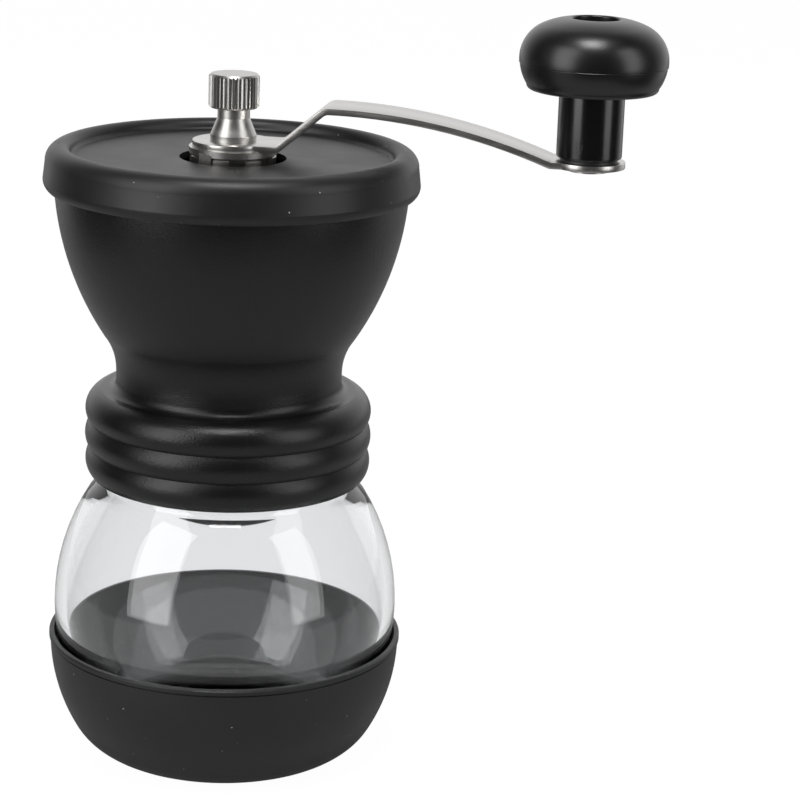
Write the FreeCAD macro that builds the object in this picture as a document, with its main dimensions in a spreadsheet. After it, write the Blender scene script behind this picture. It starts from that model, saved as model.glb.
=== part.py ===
"""Hand crank coffee grinder: a bean hopper with a conical ceramic burr set, screwed on to a glass jar that
stands in a soft cup, and a bent steel crank with a turning knob.

The frame has its origin in the middle of the cup's underside, with +Z up along the shaft and the crank
along +X. Every size is in millimetres, every angle in degrees.
"""
import FreeCAD
import Part
import Sketcher
import math
import os
import re

LEFT = 1
RIGHT = -1

# Driving dimensions: alias, value and what it measures
SIZES = [
    # Soft cup under the jar
    ("cup_height", 32.2, "underside to rim"),
    ("cup_wall", 1.3, "wall at the rim"),
    ("cup_floor", 3.0, "floor under the jar"),
    ("cup_room", 0.65, "between the cup and the jar's side"),
    ("cup_foot_rim", 0.85, "flat underside beyond the flat floor"),
    ("cup_corner_wall", 2.5, "outer corner's radius beyond the inner one's"),
    ("cup_corner_sweep", 60.0, "angle that the lower corner turns through"),
    ("cup_lip_height", 1.3, "height of the lip"),
    ("cup_lip_overhang", 0.35, "lip beyond the wall"),
    ("cup_lip_round", 0.4, "rounding of the lip"),
    ("cup_groove_height", 0.5, "groove under the lip"),
    ("cup_groove_depth", 0.3, "groove under the lip"),
    # Glass jar
    ("jar_height", 88.0, "foot to mouth"),
    ("jar_radius", 45.0, "widest place"),
    ("jar_belly", 37.0, "height of the widest place"),
    ("jar_foot_radius", 25.0, "flat underside"),
    ("jar_corner_radius", 13.0, "round lower corner"),
    ("jar_corner_sweep", 55.0, "angle that the lower corner turns through"),
    ("jar_shoulder_width", 3.7, "shoulder beyond the neck"),
    ("jar_shoulder_drop", 5.0, "shoulder below the neck"),
    ("jar_neck_flare", 1.0, "width of the neck's rounded foot"),
    ("jar_neck_fillet", 2.4, "height of the neck's rounded foot"),
    ("jar_neck_spare", 0.4, "neck below the collar"),
    ("jar_neck_wall", 3.2, "wall of the neck"),
    ("jar_wall", 3.0, "wall of the body"),
    ("jar_bottom", 5.0, "thick bottom"),
    ("jar_inner_corner", 9.0, "round corner of the inside"),
    ("jar_mouth_round", 1.0, "rounding of the mouth"),
    # Hopper with its screw collar
    ("collar_depth", 15.6, "rim of the collar to the seat on the jar's mouth"),
    ("collar_clearance", 0.8, "room for the thread round the neck"),
    ("collar_wall", 3.75, "thread to the crests of the beads"),
    ("collar_bottom_inset", 1.75, "bead to the edge of the collar's underside"),
    ("collar_crown", 8.2, "height of the upper bead"),
    ("collar_crown_bulge", 2.38, "bulge of the upper bead"),
    ("collar_shelf", 1.6, "flat top of the collar"),
    ("bead_pitch", 7.0, "from groove to groove"),
    ("bead_base", 0.4, "height of the lowest bead's foot"),
    ("bead_depth", 1.15, "depth of the grooves"),
    ("waist_wall", 3.1, "wall round the outer burr"),
    ("waist_fillet", 2.2, "foot of the waist"),
    ("waist_length", 2.8, "straight part of the waist"),
    ("flare_width", 3.4, "flare under the bowl"),
    ("flare_height", 10.0, "flare under the bowl"),
    ("bowl_height", 44.0, "flare to rim"),
    ("bowl_arc", 78.0, "arc of the bowl"),
    ("bowl_foot_lean", 32.0, "lean of the wall at the bowl's foot"),
    ("rim_overhang", 0.2, "rim beyond the jar's widest place"),
    ("hopper_wall", 2.6, "wall of the bowl"),
    ("throat_ledge", 3.9, "lip over the outer burr"),
    ("throat_lip", 2.8, "thickness of that lip"),
    ("ledge_drop", 6.0, "rim down to the bridge's ledge"),
    ("ledge_width", 2.2, "ledge that carries the bridge"),
    ("ledge_thickness", 1.8, "ledge that carries the bridge"),
    ("ledge_slope", 3.3, "height of the slope under the ledge"),
    ("ledge_root", 0.55, "foot of that slope inside the rim's bore"),
    # Lid
    ("lid_room", 0.8, "between the skirt and the hopper"),
    ("lid_wall", 1.9, "wall of the skirt"),
    ("lid_depth", 6.5, "skirt below the hopper's rim"),
    ("lid_widest", 2.4, "height of the widest place above the skirt's edge"),
    ("lid_edge_inset", 1.1, "skirt's lower edge inside the widest place"),
    ("lid_floor", 1.7, "thickness of the top"),
    ("lid_crest", 4.5, "crest of the rim above the hopper's rim"),
    ("lid_crest_inset", 4.5, "crest inside the widest place"),
    ("lid_shoulder_inset", 0.55, "top of the skirt inside the widest place"),
    ("lid_shoulder_drop", 4.05, "top of the skirt below the crest"),
    ("lid_rim_slope", 3.6, "width of the rim's inner side"),
    ("lid_roll", 1.2, "width of the hollow at the foot of that side"),
    ("lid_hole_room", 2.4, "hole beyond the lock ring"),
    # Bridge, bush and spring
    ("bridge_height", 3.0, "ring and top of the arms"),
    ("bridge_overhang", 1.4, "ring inside the ledge"),
    ("bridge_arm_width", 8.0, "each arm"),
    ("bridge_arm_drop", 2.0, "arms below the ledge"),
    ("bridge_arm_root", 1.6, "arms inside the hub"),
    ("bridge_arms", 3, "number of arms"),
    ("bridge_hub_wall", 4.9, "hub round the bush"),
    ("bridge_hub_drop", 5.0, "hub below the ledge"),
    ("bush_wall", 1.92, "wall of the bush"),
    ("bush_flange", 1.0, "thickness of the flange"),
    ("bush_flange_width", 2.8, "flange beyond the bush"),
    ("spring_length", 21.0, "spring with both washers"),
    ("spring_room", 2.0, "between the spring and the journal"),
    ("spring_wire", 1.2, "wire"),
    ("spring_turns", 5, "number of turns"),
    ("spring_washer_edge", 1.3, "washers beyond the spring"),
    ("spring_washer_thickness", 0.8, "both washers"),
    # Shaft
    ("shaft_radius", 4.0, "journal and threads"),
    ("shaft_tail", 2.0, "end below the burr nut"),
    ("shaft_step", 1.5, "thick part beyond the journal"),
    ("key_flat_depth", 0.9, "depth of the two flats"),
    ("key_recess", 0.3, "end of the flats below the crank's top"),
    ("stud_step", 0.1, "stud inside the flats"),
    ("stud_length", 12.0, "stud for the thumb nut"),
    # Burr set
    ("outer_burr_exit", 20.4, "bore at the bottom"),
    ("outer_burr_taper", 3.4, "bore's loss of radius up to the top"),
    ("outer_burr_wall", 5.5, "wall at the bottom"),
    ("outer_burr_height", 15.0, "height"),
    ("outer_teeth", 30, "number of slanted teeth"),
    ("outer_tooth_deep", 2.2, "groove at the top"),
    ("outer_tooth_fine", 0.7, "groove at the bottom"),
    ("outer_tooth_share", 0.8, "groove's share of the pitch"),
    ("outer_tooth_skew", 24.0, "angle round the axis that the teeth run through"),
    ("inner_burr_height", 17.0, "height"),
    ("inner_burr_wall", 4.5, "wall at the top"),
    ("inner_burr_band", 3.0, "grinding band at the bottom"),
    ("grind_gap", 0.6, "between the burrs' bands"),
    ("inner_flutes", 9, "number of slanted flutes"),
    ("inner_flute_deep", 3.2, "depth at the top"),
    ("inner_flute_fine", 0.7, "depth at the bottom"),
    ("inner_flute_head", 4.5, "width at the top"),
    ("inner_flute_foot", 3.2, "width at the bottom"),
    ("inner_flute_skew", 48.0, "angle round the axis that the flutes run through"),
    ("inner_flute_overrun", 5.0, "flutes' straight cuts beyond the cone"),
    ("inner_teeth", 36, "number of fine teeth in the band"),
    ("inner_tooth", 0.7, "depth at the bottom"),
    ("inner_tooth_end", 0.2, "depth where a tooth runs out"),
    ("inner_tooth_height", 5.0, "height"),
    ("inner_tooth_share", 0.7, "groove's share of the pitch"),
    ("inner_tooth_skew", 8.0, "angle round the axis that the teeth run through"),
    ("carrier_wall", 2.9, "sleeve in the burr"),
    ("carrier_short", 1.5, "sleeve's end above the burr's underside"),
    ("carrier_flange", 2.5, "flange on the burr"),
    ("carrier_flange_width", 3.4, "flange beyond the sleeve"),
    ("carrier_lug_width", 4.0, "driving lugs"),
    ("carrier_lug_depth", 2.0, "driving lugs"),
    ("carrier_lug_root", 1.0, "lugs inside the sleeve"),
    ("carrier_lug_inset", 0.5, "lugs inside the flange's edge"),
    ("burr_washer_edge", 3.0, "washer beyond the carrier"),
    ("burr_washer_thickness", 1.5, "washer under the burr"),
    ("burr_nut_wall", 2.4, "thread to the flats"),
    ("burr_nut_height", 5.5, "height"),
    ("retainer_edge", 2.7, "ring beyond the outer burr"),
    ("retainer_overlap", 3.5, "ring under the outer burr"),
    ("retainer_thickness", 2.5, "thickness"),
    ("retainer_notches", 3, "number of finger notches"),
    ("retainer_notch_radius", 3.0, "finger notches"),
    ("neck_room", 0.8, "between the ring and the jar's neck"),
    # Adjusting nut and lock ring
    ("adjust_radius", 11.0, "outside"),
    ("adjust_notches", 8, "number of notches"),
    ("adjust_chamfer", 0.6, "upper edge"),
    ("lock_edge", 0.2, "ring beyond the nut"),
    ("lock_thickness", 1.5, "sheet"),
    ("tab_width", 3.8, "tab that locks the nut"),
    ("tab_end", 1.4, "tab's end above the nut's underside"),
    ("tab_angle", 242.0, "direction of the tab from the crank"),
    ("tab_room", 0.35, "between the tab and the notch"),
    # Crank
    ("crank_radius", 90.0, "shaft to knob"),
    ("arm_clearance", 2.8, "eye above the lid"),
    ("arm_thickness", 1.6, "strip"),
    ("eye_radius", 10.35, "round the shaft"),
    ("arm_root_inset", 2.55, "strip's edge inside the eye's"),
    ("arm_tip_inset", 2.45, "strip's edge inside the round end's"),
    ("disc_edge", 0.95, "round end beyond the knob's sleeve"),
    ("arm_flat", 12.0, "shaft to the first bend"),
    ("arm_angle", 41.0, "rise between the bends"),
    ("arm_bend", 2.0, "inner radius of the bends"),
    ("arm_rise", 12.0, "highest line above the eye's underside"),
    ("arm_end_room", 0.9, "arch's end before the knob's sleeve"),
    ("arm_end_bend", 1.5, "inner radius of the bend before the round end"),
    ("arm_drop", 0.1, "round end below the eye"),
    # Thumb nut
    ("nut_cap", 4.6, "solid top over the bore"),
    ("nut_bore_room", 0.6, "bore beyond the stud"),
    ("nut_foot_height", 1.5, "foot"),
    ("nut_cone", 4.3, "height of the cone"),
    ("nut_neck", 2.5, "height of the neck"),
    ("nut_neck_wall", 1.1, "neck round the stud"),
    ("nut_foot_rim", 1.75, "foot beyond the neck"),
    ("nut_head_rim", 2.3, "head beyond the neck"),
    ("nut_chamfer", 0.6, "edges of the head"),
    ("nut_flutes", 40, "number of flutes"),
    ("nut_flute_depth", 0.35, "flutes"),
    ("nut_flute_share", 0.8, "flute's share of the pitch"),
    # Knob
    ("axle_radius", 4.0, "post in the knob"),
    ("axle_step", 1.0, "shoulder on the arm"),
    ("axle_head_rim", 2.2, "riveted head under the arm"),
    ("axle_head", 1.0, "riveted head under the arm"),
    ("knob_washer_inset", 1.0, "washer inside the sleeve's edge"),
    ("knob_washer_thickness", 0.6, "washer on the arm"),
    ("spigot_wall", 2.12, "top of the sleeve in the dome"),
    ("spigot_height", 5.0, "top of the sleeve in the dome"),
    ("stem_step", 2.0, "sleeve beyond the spigot"),
    ("stem_height", 16.9, "sleeve up to the dome"),
    ("stem_round", 0.8, "lower edge"),
    ("dome_foot_rim", 8.25, "underside beyond the sleeve"),
    ("dome_flare", 2.05, "widest place beyond the underside"),
    ("dome_seam", 7.7, "height of the widest place"),
    ("dome_height", 17.8, "underside to top"),
    ("dome_edge_round", 1.2, "edge of the underside"),
    ("dome_arc", 9.2, "arc above the widest place"),
    ("dome_arc_sweep", 64.0, "angle that this arc turns through before the flatter top"),
    ("dome_hole_room", 0.55, "hole beyond the screw's washer"),
    ("dome_hole_depth", 6.3, "hole in the top"),
    ("dome_hole_round", 0.5, "edge of the hole"),
    ("screw_radius", 1.5, "shank"),
    ("screw_length", 9.0, "shank in the axle"),
    ("screw_head_rim", 1.8, "head beyond the shank"),
    ("screw_head", 2.2, "height of the head"),
    ("screw_slot", 0.8, "width of the cross recess"),
    ("screw_recess_radius", 1.8, "cross recess"),
    ("screw_recess_depth", 1.3, "cross recess"),
    ("screw_washer_overlap", 1.3, "washer beyond the axle"),
    ("screw_washer_thickness", 0.8, "washer under the head"),
    # Fits
    ("running_fit", 0.08, "radial, between turning pieces"),
    ("close_fit", 0.1, "radial, between pieces fixed together"),
    ("loose_fit", 0.2, "radial, between pieces that drop in"),
    ("cut_overrun", 1.0, "cuts beyond the faces that they pass"),
]

# Radii that pieces share, as formulas of the driving dimensions
OUTER_BURR = "(outer_burr_exit + outer_burr_wall)"
OUTER_MOUTH = "(outer_burr_exit - outer_burr_taper)"
INNER_BURR = "(outer_burr_exit - grind_gap)"
POCKET = f"({OUTER_BURR} + loose_fit)"
RETAINER = f"({OUTER_BURR} + retainer_edge)"
NECK_BORE = f"({RETAINER} + neck_room)"
NECK = f"({NECK_BORE} + jar_neck_wall)"
COLLAR_BORE = f"({NECK} + collar_clearance)"
WAIST = f"({POCKET} + waist_wall)"
BOWL_FOOT_RADIUS = f"({WAIST} + flare_width)"
HOPPER = "(jar_radius + rim_overhang)"
RIM_BORE = f"({HOPPER} - hopper_wall)"
LEDGE_BORE = f"({RIM_BORE} - ledge_width)"
LID = f"({HOPPER} + lid_room + lid_wall)"
CARRIER = "(shaft_radius + close_fit + carrier_wall)"
CARRIER_FLANGE = f"({CARRIER} + carrier_flange_width)"
BUSH = "(shaft_radius + running_fit + bush_wall)"
SPRING = "(shaft_radius + spring_room + spring_wire / 2)"
SPRING_WASHER = f"({SPRING} + spring_wire / 2 + spring_washer_edge)"
STUD = "(shaft_radius - key_flat_depth - stud_step)"
NUT_NECK = f"({STUD} + nut_neck_wall)"
LOCK = "(adjust_radius + lock_edge)"
AXLE_BORE = "(axle_radius + running_fit)"
SPIGOT = f"({AXLE_BORE} + spigot_wall)"
STEM = f"({SPIGOT} + stem_step)"
DISC = f"({STEM} + disc_edge)"
SCREW_WASHER = "(axle_radius + screw_washer_overlap)"

# Heights that pieces share, first inside the hopper and the jar, then above the cup's underside
COLLAR_HEIGHT = "(bead_base + 2 * bead_pitch + collar_crown)"
WAIST_TOP = f"({COLLAR_HEIGHT} + waist_fillet + waist_length)"
BOWL_FOOT = f"({WAIST_TOP} + flare_height)"
HOPPER_HEIGHT = f"({BOWL_FOOT} + bowl_height)"
POCKET_TOP = "(collar_depth + outer_burr_height)"
NECK_BASE = "(jar_height - collar_depth - jar_neck_spare)"
BURR_BASE = "(cup_floor + jar_height)"
HOPPER_BASE = f"({BURR_BASE} - collar_depth)"
HOPPER_RIM = f"({HOPPER_BASE} + {HOPPER_HEIGHT})"
LEDGE = f"({HOPPER_RIM} - ledge_drop)"
BUSH_TOP = f"({LEDGE} + bridge_height + bush_flange)"
ARM_BASE = f"({HOPPER_RIM} + lid_floor + arm_clearance)"
ADJUST_TOP = f"({ARM_BASE} - lock_thickness)"
ADJUST_HEIGHT = f"({ADJUST_TOP} - {BUSH_TOP})"
TAB_DROP = f"({ADJUST_HEIGHT} - tab_end)"
NUT_BASE = f"({ARM_BASE} + arm_thickness)"
NUT_BORE = "(stud_length - key_recess + nut_bore_room)"
NUT_HEIGHT = f"({NUT_BORE} + nut_cap)"
DISC_TOP = f"({NUT_BASE} - arm_drop)"
STEM_BASE = f"({DISC_TOP} + knob_washer_thickness)"
DOME_BASE = f"({STEM_BASE} + stem_height)"
AXLE_TOP = f"({DOME_BASE} + dome_height - dome_hole_depth + loose_fit)"
SHAFT_BASE = f"({BURR_BASE} - burr_washer_thickness - burr_nut_height - shaft_tail)"
SHOULDER = f"({BURR_BASE} - {SHAFT_BASE} + inner_burr_height + carrier_flange)"
SPRING_ROOF = f"({LEDGE} - bridge_hub_drop)"
SPRING_SEAT = f"({SPRING_ROOF} - spring_length)"

document = FreeCAD.newDocument("CoffeeGrinder")
sheet = document.addObject("Spreadsheet::Sheet", "Size")


def fill_sheet():
    """Write the driving dimensions, one row each."""
    for row, (alias, value, meaning) in enumerate(SIZES, start=1):
        sheet.set(f"A{row}", str(value))
        sheet.setAlias(f"A{row}", alias)
        sheet.set(f"B{row}", meaning)
    document.recompute()


def formula(text):
    """Turn the aliases in a formula into references to the sheet."""
    aliases = {alias for alias, _, _ in SIZES}

    def refer(match):
        word = match.group()
        return f"Size.{word}" if word in aliases else word

    return re.sub(r"[a-z][a-z_]*", refer, text)


def number(text):
    """Work out a formula's present value."""
    return float(sheet.evalExpression(formula(text)))


def tangent_radius(across, up, angle):
    """Radius of the arc that leaves a point at an angle and passes a point so far across and up."""
    return f"((({across})^2 + ({up})^2) / (2 * abs(({up}) * cos({angle}) - ({across}) * sin({angle}))))"


def bulge_radius(across, up, bulge):
    """Radius of the arc that stands so far off a chord that runs so far across and up."""
    return f"((({across})^2 + ({up})^2) / (8 * ({bulge})) + ({bulge}) / 2)"


def new_body(label, height="0", across="0"):
    """A body named after its piece, at a height on the shaft's axis or so far across from it."""
    body = document.addObject("PartDesign::Body", label)
    body.Label = label
    body.setExpression("Placement.Base.z", formula(height))
    body.setExpression("Placement.Base.x", formula(across))
    return body


def origin_feature(body, role):
    """One of the body's own origin planes or axes."""
    return next(item for item in body.Origin.OriginFeatures if item.Role == role)


def new_sketch(body, name, plane="XZ_Plane", height="0", angle="0"):
    """A sketch on an origin plane, lifted along its normal and turned about it."""
    sketch = body.newObject("Sketcher::SketchObject", f"{body.Label}_{name}")
    sketch.AttachmentSupport = [(origin_feature(body, plane), "")]
    sketch.MapMode = "FlatFace"
    sketch.AttachmentOffset = FreeCAD.Placement(FreeCAD.Vector(), FreeCAD.Rotation(FreeCAD.Vector(0, 0, 1), 1))
    sketch.setExpression("AttachmentOffset.Base.z", formula(height))
    sketch.setExpression("AttachmentOffset.Rotation.Angle", formula(angle))
    return sketch


def arc_between(start, end, radius, turn):
    """The shorter arc from start to end that turns left or right."""
    chord = end - start
    half = chord.Length / 2
    reach = math.sqrt(max(radius * radius - half * half, 0.0))
    normal = FreeCAD.Vector(-chord.y, chord.x, 0).normalize()
    centre = start + chord * 0.5 + normal * (turn * reach)
    first, last = (start, end) if turn == LEFT else (end, start)
    angles = [math.atan2(point.y - centre.y, point.x - centre.x) for point in (first, last)]
    circle = Part.Circle(centre, FreeCAD.Vector(0, 0, 1), radius)
    return Part.ArcOfCircle(circle, angles[0], angles[1])


def bind(sketch, constraint, text):
    """Add a constraint and tie its value to a formula."""
    index = sketch.addConstraint(constraint)
    sketch.setExpression(f"Constraints[{index}]", formula(text))


def pin(sketch, edge, end, across, up):
    """Hold one end of an edge at a place given by two formulas."""
    if across == "0":
        sketch.addConstraint(Sketcher.Constraint("PointOnObject", edge, end, -2))
    else:
        bind(sketch, Sketcher.Constraint("DistanceX", -1, 1, edge, end, number(across)), across)
    if up == "0":
        sketch.addConstraint(Sketcher.Constraint("PointOnObject", edge, end, -1))
    else:
        bind(sketch, Sketcher.Constraint("DistanceY", -1, 1, edge, end, number(up)), up)


def outline(sketch, points):
    """Draw a closed outline. A point is (across, up), reached by a line, or (across, up, radius, turn),
    reached by an arc."""
    places = [FreeCAD.Vector(number(point[0]), number(point[1]), 0) for point in points]
    edges = []
    for index, point in enumerate(points):
        start, end = places[index - 1], places[index]
        if len(point) == 2:
            edge = sketch.addGeometry(Part.LineSegment(start, end), False)
            edges.append((edge, 1, 2))
        else:
            arc = arc_between(start, end, number(point[2]), point[3])
            edge = sketch.addGeometry(arc, False)
            edges.append((edge, 1, 2) if point[3] == LEFT else (edge, 2, 1))
    for index, point in enumerate(points):
        edge, _, end = edges[index]
        following, start, _ = edges[(index + 1) % len(edges)]
        sketch.addConstraint(Sketcher.Constraint("Coincident", edge, end, following, start))
        pin(sketch, edge, end, point[0], point[1])
        if len(point) == 4:
            bind(sketch, Sketcher.Constraint("Radius", edge, number(point[2])), point[2])


def circle(sketch, radius, across="0", up="0"):
    """Draw a circle about a place given by two formulas."""
    centre = FreeCAD.Vector(number(across), number(up), 0)
    edge = sketch.addGeometry(Part.Circle(centre, FreeCAD.Vector(0, 0, 1), number(radius)), False)
    pin(sketch, edge, 3, across, up)
    bind(sketch, Sketcher.Constraint("Radius", edge, number(radius)), radius)


def rectangle(sketch, low_across, low_up, high_across, high_up):
    """Draw a rectangle between two corners."""
    outline(sketch, [(low_across, low_up), (high_across, low_up), (high_across, high_up), (low_across, high_up)])


def flatted(sketch, room="0"):
    """Draw the shaft's round section with its two flats, grown by some room."""
    radius = f"(shaft_radius + {room})"
    flat = f"(shaft_radius - key_flat_depth + {room})"
    corner = f"sqrt({radius}^2 - {flat}^2)"
    outline(sketch, [(corner, f"-{flat}"), (corner, flat, radius, LEFT),
                     (f"-{corner}", flat), (f"-{corner}", f"-{flat}", radius, LEFT)])


def feature(body, kind, name, sketch):
    """Add a feature made from a sketch."""
    item = body.newObject(f"PartDesign::{kind}", f"{body.Label}_{name}")
    item.Profile = sketch
    return item


def revolve(body, points, name="turned"):
    """Turn a profile about the body's upright axis."""
    sketch = new_sketch(body, f"{name}_profile")
    outline(sketch, points)
    item = feature(body, "Revolution", name, sketch)
    item.ReferenceAxis = (sketch, ["V_Axis"])
    item.Angle = 360
    return item


def pad(body, name, sketch, length, downward=False):
    """Raise a sketch by a length."""
    item = feature(body, "Pad", name, sketch)
    item.setExpression("Length", formula(length))
    item.Reversed = downward
    return item


def pocket(body, name, sketch, length=None):
    """Cut a sketch downward, through everything if no length is given."""
    item = feature(body, "Pocket", name, sketch)
    if length is None:
        item.Type = "ThroughAll"
    else:
        item.setExpression("Length", formula(length))
    return item


def polar(body, name, original, count):
    """Repeat a feature round the body's upright axis."""
    item = body.newObject("PartDesign::PolarPattern", f"{body.Label}_{name}")
    item.Originals = [original]
    item.Axis = (origin_feature(body, "Z_Axis"), [""])
    item.Angle = 360
    item.setExpression("Occurrences", formula(count))
    body.Tip = item
    return item


def groove_loft(body, name, lower, upper):
    """Cut a groove between two sections, each (height, angle, corners)."""
    sections = []
    for place, (height, angle, corners) in zip(("foot", "head"), (lower, upper)):
        sketch = new_sketch(body, f"{name}_{place}", "XY_Plane", height, angle)
        outline(sketch, corners)
        sections.append(sketch)
    item = feature(body, "SubtractiveLoft", name, sections[0])
    item.Sections = [sections[1]]
    item.Ruled = True
    return item


def ring(label, height, inner, outer, thickness, across="0"):
    """A flat round washer."""
    body = new_body(label, height, across)
    revolve(body, [(inner, "0"), (outer, "0"), (outer, thickness), (inner, thickness)])
    return body


def jar_side():
    """The jar's outer corner, as a place, and the arc from there up to the belly."""
    corner = ("(jar_foot_radius + jar_corner_radius * sin(jar_corner_sweep))",
              "(jar_corner_radius * (1 - cos(jar_corner_sweep)))")
    return corner, tangent_radius(f"jar_radius - {corner[0]}", f"jar_belly - {corner[1]}", "90")


def base_cup():
    """Soft cup that follows the jar inside, with a rounded bowl, a thin lip and a fine groove under the lip."""
    body = new_body("base_cup")
    jar_corner, jar_arc = jar_side()
    rise = "(jar_belly + cup_floor - cup_height)"
    bore = f"(jar_radius + cup_room - {jar_arc} + sqrt({jar_arc}^2 - {rise}^2))"
    lip = f"({bore} + cup_wall)"
    foot = "(jar_foot_radius + cup_room + cup_foot_rim)"
    corner_radius = "(jar_corner_radius + cup_corner_wall)"
    corner = (f"({foot} + {corner_radius} * sin(cup_corner_sweep))",
              f"({corner_radius} * (1 - cos(cup_corner_sweep)))")
    wall = f"({lip} - cup_lip_overhang)"
    shoulder = "(cup_height - cup_lip_height - cup_groove_height)"
    side = tangent_radius(f"{wall} - {corner[0]}", f"{shoulder} - {corner[1]}", "cup_corner_sweep")
    revolve(body, [
        ("0", "0"),
        (foot, "0"),
        (*corner, corner_radius, LEFT),
        (wall, shoulder, side, LEFT),
        (f"{wall} - cup_groove_depth", shoulder),
        (f"{wall} - cup_groove_depth", "cup_height - cup_lip_height"),
        (lip, "cup_height - cup_lip_height"),
        (lip, "cup_height - cup_lip_round"),
        (f"{lip} - cup_lip_round", "cup_height", "cup_lip_round", LEFT),
        (bore, "cup_height"),
        (f"{jar_corner[0]} + cup_room", f"{jar_corner[1]} + cup_floor", jar_arc, RIGHT),
        ("jar_foot_radius + cup_room", "cup_floor", "jar_corner_radius", RIGHT),
        ("0", "cup_floor"),
    ])
    return body


def glass_jar():
    """Thick jar with a round belly, a sloping shoulder and a plain neck."""
    body = new_body("glass_jar", "cup_floor")
    corner, lower_arc = jar_side()
    inner_corner = ("(jar_foot_radius + jar_inner_corner * sin(jar_corner_sweep))",
                    "(jar_bottom + jar_inner_corner * (1 - cos(jar_corner_sweep)))")
    belly = "(jar_radius - jar_wall)"
    inner_lower_arc = tangent_radius(f"{belly} - {inner_corner[0]}", f"jar_belly - {inner_corner[1]}", "90")
    shoulder = f"({NECK} + jar_shoulder_width)"
    shoulder_height = f"({NECK_BASE} - jar_shoulder_drop)"
    reach = f"({shoulder_height} - jar_belly)"
    upper_arc = tangent_radius(f"jar_radius - {shoulder}", reach, "90")
    centre = f"(jar_radius - {upper_arc})"
    inner_share = f"(1 - jar_wall / {upper_arc})"
    revolve(body, [
        ("0", "0"),
        ("jar_foot_radius", "0"),
        (*corner, "jar_corner_radius", LEFT),
        ("jar_radius", "jar_belly", lower_arc, LEFT),
        (shoulder, shoulder_height, upper_arc, LEFT),
        (f"{NECK} + jar_neck_flare", f"{NECK_BASE} - jar_neck_fillet"),
        (NECK, NECK_BASE, tangent_radius("jar_neck_flare", "jar_neck_fillet", "90"), RIGHT),
        (NECK, "jar_height - jar_mouth_round"),
        (f"{NECK} - jar_mouth_round", "jar_height", "jar_mouth_round", LEFT),
        (NECK_BORE, "jar_height"),
        (NECK_BORE, NECK_BASE),
        (f"{centre} + ({shoulder} - {centre}) * {inner_share}", f"jar_belly + {reach} * {inner_share}"),
        (belly, "jar_belly", f"{upper_arc} - jar_wall", RIGHT),
        (*inner_corner, inner_lower_arc, RIGHT),
        ("jar_foot_radius", "jar_bottom", "jar_inner_corner", RIGHT),
        ("0", "jar_bottom"),
    ])
    return body


def hopper_body():
    """Bowl, waist and beaded collar in one moulding, with the ledge for the bridge and the burr's pocket."""
    body = new_body("hopper_body", HOPPER_BASE)
    collar = f"({COLLAR_BORE} + collar_wall)"
    groove = f"({collar} - bead_depth)"
    upper_groove = "(bead_base + 2 * bead_pitch)"
    bead = bulge_radius("0", "bead_pitch", "bead_depth")
    crown = f"({WAIST} + waist_fillet + collar_shelf)"
    crown_arc = bulge_radius(f"{groove} - {crown}", "collar_crown", "collar_crown_bulge")
    ledge = f"({HOPPER_HEIGHT} - ledge_drop)"
    revolve(body, [
        (COLLAR_BORE, "0"),
        (f"{collar} - collar_bottom_inset", "0"),
        (groove, "bead_base + bead_pitch", bead, LEFT),
        (groove, upper_groove, bead, LEFT),
        (crown, COLLAR_HEIGHT, crown_arc, LEFT),
        (f"{WAIST} + waist_fillet", COLLAR_HEIGHT),
        (WAIST, f"{COLLAR_HEIGHT} + waist_fillet", "waist_fillet", RIGHT),
        (WAIST, WAIST_TOP),
        (BOWL_FOOT_RADIUS, BOWL_FOOT, tangent_radius("flare_width", "flare_height", "90"), RIGHT),
        (HOPPER, HOPPER_HEIGHT, "bowl_arc", LEFT),
        (RIM_BORE, HOPPER_HEIGHT),
        (RIM_BORE, ledge),
        (LEDGE_BORE, ledge),
        (LEDGE_BORE, f"{ledge} - ledge_thickness"),
        (f"{RIM_BORE} - ledge_root", f"{ledge} - ledge_thickness - ledge_slope"),
        (f"{BOWL_FOOT_RADIUS} - hopper_wall * cos(bowl_foot_lean)",
         f"{BOWL_FOOT} + hopper_wall * sin(bowl_foot_lean)", "bowl_arc - hopper_wall", RIGHT),
        (f"{OUTER_BURR} - throat_ledge", f"{POCKET_TOP} + throat_lip"),
        (f"{OUTER_BURR} - throat_ledge", POCKET_TOP),
        (POCKET, POCKET_TOP),
        (POCKET, "collar_depth"),
        (COLLAR_BORE, "collar_depth"),
    ])
    return body


def hopper_lid():
    """Soft lid: a rounded rim standing over a shallow recess, a skirt, and a hole round the shaft."""
    body = new_body("hopper_lid", f"{HOPPER_RIM} - lid_depth")
    top = "(lid_depth + lid_floor)"
    crest = "(lid_depth + lid_crest)"
    crest_radius = f"({LID} - lid_crest_inset)"
    recess = f"({crest_radius} - lid_rim_slope)"
    drop = "(lid_crest - lid_floor)"
    roll_height = f"({drop} * lid_roll / lid_rim_slope)"
    hole = f"({LOCK} + lid_hole_room)"
    revolve(body, [
        (f"{LID} - lid_wall", "0"),
        (f"{LID} - lid_edge_inset", "0"),
        (LID, "lid_widest", tangent_radius("lid_edge_inset", "lid_widest", "90"), LEFT),
        (f"{LID} - lid_shoulder_inset", f"{crest} - lid_shoulder_drop"),
        (crest_radius, crest, tangent_radius("lid_crest_inset - lid_shoulder_inset", "lid_shoulder_drop", "0"), LEFT),
        (f"{recess} + lid_roll", f"{top} + {roll_height}",
         tangent_radius("lid_rim_slope - lid_roll", f"{drop} - {roll_height}", "0"), LEFT),
        (recess, top, tangent_radius("lid_roll", roll_height, "0"), RIGHT),
        (hole, top),
        (hole, "lid_depth"),
        (f"{LID} - lid_wall", "lid_depth"),
    ])
    return body


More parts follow.
